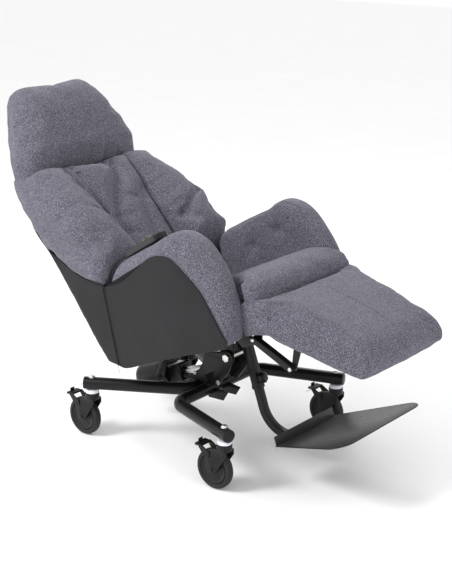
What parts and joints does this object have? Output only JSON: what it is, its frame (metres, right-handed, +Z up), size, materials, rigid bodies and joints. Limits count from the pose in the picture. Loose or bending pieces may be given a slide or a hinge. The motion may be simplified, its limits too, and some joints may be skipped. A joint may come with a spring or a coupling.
{
  "type": "patient recliner chair",
  "caption": "Wheeled patient recliner: tilting seat shell, reclining padded back, lifting leg rest and footplate on a four-castor tube base.",
  "frame": {"origin": "on the floor, under the centre of the chair's box, at the resting tilt", "axes": "+Z up; the chair faces -Y, and the sitter's right is -X; +Y is the chair's length, front to back"},
  "size_m": [0.65, 1.4544, 1.0761],
  "materials": {
    "frame_black": "satin black powder coat",
    "zinc": "bright zinc plate",
    "nylon_white": "white nylon",
    "caster_black": "black moulded plastic",
    "wheel_grey": "dark grey castor tread",
    "fabric_grey": "heather grey upholstery fabric",
    "vinyl_charcoal": "matte charcoal vinyl",
    "board": "plywood",
    "footplate_grey": "dark grey semi-gloss",
    "motor_black": "black plastic",
    "handset_grey": "grey plastic",
    "button": "coloured key",
    "cable_black": "black cable"
  },
  "bodies": {
    "base": {"base_front_tube": "frame_black", "base_rear_tube": "frame_black", "tilt_tower": "frame_black", "tilt_shaft": "zinc", "stem_front_right": "zinc", "stem_front_left": "zinc", "stem_rear_right": "zinc", "stem_rear_left": "zinc", "collar_front_right": "nylon_white", "collar_front_left": "nylon_white", "collar_rear_right": "nylon_white", "collar_rear_left": "nylon_white"},
    "fork_front_right": {"fork_front_right": "caster_black"},
    "pedal_front_right": {"pedal_front_right": "caster_black"},
    "wheel_front_right": {"wheel_front_right": "wheel_grey"},
    "fork_front_left": {"fork_front_left": "caster_black"},
    "pedal_front_left": {"pedal_front_left": "caster_black"},
    "wheel_front_left": {"wheel_front_left": "wheel_grey"},
    "fork_rear_right": {"fork_rear_right": "caster_black"},
    "pedal_rear_right": {"pedal_rear_right": "caster_black"},
    "wheel_rear_right": {"wheel_rear_right": "wheel_grey"},
    "fork_rear_left": {"fork_rear_left": "caster_black"},
    "pedal_rear_left": {"pedal_rear_left": "caster_black"},
    "wheel_rear_left": {"wheel_rear_left": "wheel_grey"},
    "seat_shell": {"seat_frame": "frame_black", "seat_board": "board", "seat_cushion": "fabric_grey", "armrest_right": "fabric_grey", "armrest_left": "fabric_grey", "side_panel_right": "vinyl_charcoal", "side_panel_left": "vinyl_charcoal", "foot_tube_outer": "frame_black", "control_box": "motor_black", "back_actuator_body": "motor_black", "leg_actuator_body": "motor_black", "handset_body": "handset_grey", "handset_cable": "cable_black"},
    "back": {"back_frame": "frame_black", "back_cover": "vinyl_charcoal", "back_cushion": "fabric_grey", "bolster_right": "fabric_grey", "bolster_left": "fabric_grey", "head_cushion": "fabric_grey"},
    "legrest": {"legrest_frame": "frame_black", "legrest_pad": "fabric_grey"},
    "foot_rest": {"foot_tube_inner": "frame_black", "footplate": "footplate_grey"},
    "foot_clamp_knob": {"foot_clamp_knob": "motor_black"},
    "tilt_actuator": {"tilt_actuator_body": "motor_black"},
    "tilt_actuator_rod": {"tilt_actuator_rod": "zinc"},
    "back_actuator_rod": {"back_actuator_rod": "zinc"},
    "leg_actuator_rod": {"leg_actuator_rod": "zinc"},
    "handset_button_1": {"handset_button_1": "button"},
    "handset_button_2": {"handset_button_2": "button"},
    "handset_button_3": {"handset_button_3": "button"},
    "handset_button_4": {"handset_button_4": "button"},
    "zip_pull_right": {"zip_pull_right": "zinc"},
    "zip_pull_left": {"zip_pull_left": "zinc"}
  },
  "joints": [
    {"name": "seat_tilt", "type": "hinge", "parent": "base", "child": "seat_shell", "pos_m": [0, -0.11, 0.305], "axis": [-1, 0, 0], "range_deg": [-19, 0]},
    {"name": "back_recline", "type": "hinge", "parent": "seat_shell", "child": "back", "pos_m": [0, 0.15778, 0.36086], "axis": [-1, 0, 0], "range_deg": [0, 25]},
    {"name": "legrest_lift", "type": "hinge", "parent": "seat_shell", "child": "legrest", "pos_m": [0, -0.3352, 0.52638], "axis": [-1, 0, 0], "range_deg": [-40, 0]},
    {"name": "foot_height", "type": "slide", "parent": "seat_shell", "child": "foot_rest", "axis": [0, 0.3256, 0.9455], "range_m": [-0.01, 0.03]},
    {"name": "foot_clamp_turn", "type": "hinge", "parent": "seat_shell", "child": "foot_clamp_knob", "pos_m": [0, -0.18211, 0.23993], "axis": [0, -0.9455, 0.3256], "range_deg": [0, 330]},
    {"name": "swivel_front_right", "type": "hinge", "parent": "base", "child": "fork_front_right", "pos_m": [-0.285, -0.29, 0.14], "axis": [0, 0, 1], "continuous": true},
    {"name": "swivel_front_left", "type": "hinge", "parent": "base", "child": "fork_front_left", "pos_m": [0.285, -0.29, 0.14], "axis": [0, 0, 1], "continuous": true},
    {"name": "swivel_rear_right", "type": "hinge", "parent": "base", "child": "fork_rear_right", "pos_m": [-0.24, 0.29, 0.14], "axis": [0, 0, 1], "continuous": true},
    {"name": "swivel_rear_left", "type": "hinge", "parent": "base", "child": "fork_rear_left", "pos_m": [0.24, 0.29, 0.14], "axis": [0, 0, 1], "continuous": true},
    {"name": "spin_front_right", "type": "hinge", "parent": "fork_front_right", "child": "wheel_front_right", "pos_m": [-0.285, -0.255, 0.0625], "axis": [-1, 0, 0], "continuous": true},
    {"name": "spin_front_left", "type": "hinge", "parent": "fork_front_left", "child": "wheel_front_left", "pos_m": [0.285, -0.255, 0.0625], "axis": [-1, 0, 0], "continuous": true},
    {"name": "spin_rear_right", "type": "hinge", "parent": "fork_rear_right", "child": "wheel_rear_right", "pos_m": [-0.24, 0.325, 0.0625], "axis": [-1, 0, 0], "continuous": true},
    {"name": "spin_rear_left", "type": "hinge", "parent": "fork_rear_left", "child": "wheel_rear_left", "pos_m": [0.24, 0.325, 0.0625], "axis": [-1, 0, 0], "continuous": true},
    {"name": "brake_front_right", "type": "hinge", "parent": "fork_front_right", "child": "pedal_front_right", "pos_m": [-0.285, -0.242, 0.11], "axis": [-1, 0, 0], "range_deg": [0, 18]},
    {"name": "brake_front_left", "type": "hinge", "parent": "fork_front_left", "child": "pedal_front_left", "pos_m": [0.285, -0.242, 0.11], "axis": [-1, 0, 0], "range_deg": [0, 18]},
    {"name": "brake_rear_right", "type": "hinge", "parent": "fork_rear_right", "child": "pedal_rear_right", "pos_m": [-0.24, 0.338, 0.11], "axis": [-1, 0, 0], "range_deg": [0, 18]},
    {"name": "brake_rear_left", "type": "hinge", "parent": "fork_rear_left", "child": "pedal_rear_left", "pos_m": [0.24, 0.338, 0.11], "axis": [-1, 0, 0], "range_deg": [0, 18]},
    {"name": "tilt_actuator_swing", "type": "hinge", "parent": "seat_shell", "child": "tilt_actuator", "pos_m": [0, 0.16356, 0.17802], "axis": [-1, 0, 0], "range_deg": [-17, 0.5]},
    {"name": "tilt_actuator_stroke", "type": "slide", "parent": "tilt_actuator", "child": "tilt_actuator_rod", "axis": [0, -0.9455, 0.3256], "range_m": [-0.001, 0.026]},
    {"name": "back_actuator_stroke", "type": "slide", "parent": "seat_shell", "child": "back_actuator_rod", "axis": [0, -0.9455, 0.3256], "range_m": [-0.001, 0.026]},
    {"name": "leg_actuator_stroke", "type": "slide", "parent": "seat_shell", "child": "leg_actuator_rod", "axis": [0, -0.9455, 0.3256], "range_m": [-0.037, 0.001]},
    {"name": "handset_button_1_press", "type": "slide", "parent": "seat_shell", "child": "handset_button_1", "axis": [0, -0.5129, -0.8585], "range_m": [0, 0.0015], "stiffness_N_per_m": 800},
    {"name": "handset_button_2_press", "type": "slide", "parent": "seat_shell", "child": "handset_button_2", "axis": [0, -0.5129, -0.8585], "range_m": [0, 0.0015], "stiffness_N_per_m": 800},
    {"name": "handset_button_3_press", "type": "slide", "parent": "seat_shell", "child": "handset_button_3", "axis": [0, -0.5129, -0.8585], "range_m": [0, 0.0015], "stiffness_N_per_m": 800},
    {"name": "handset_button_4_press", "type": "slide", "parent": "seat_shell", "child": "handset_button_4", "axis": [0, -0.5129, -0.8585], "range_m": [0, 0.0015], "stiffness_N_per_m": 800},
    {"name": "zip_right", "type": "slide", "parent": "seat_shell", "child": "zip_pull_right", "axis": [0, 0.2217, 0.9751], "range_m": [0, 0.23]},
    {"name": "zip_left", "type": "slide", "parent": "seat_shell", "child": "zip_pull_left", "axis": [0, 0.2217, 0.9751], "range_m": [0, 0.23]}
  ],
  "couplings": [
    {"joint": "tilt_actuator_swing", "follows": "seat_tilt", "ratio": 0.85},
    {"joint": "tilt_actuator_stroke", "follows": "seat_tilt", "m_per_rad": -0.072},
    {"joint": "back_actuator_stroke", "follows": "back_recline", "m_per_rad": 0.0546},
    {"joint": "leg_actuator_stroke", "follows": "legrest_lift", "m_per_rad": 0.05}
  ]
}
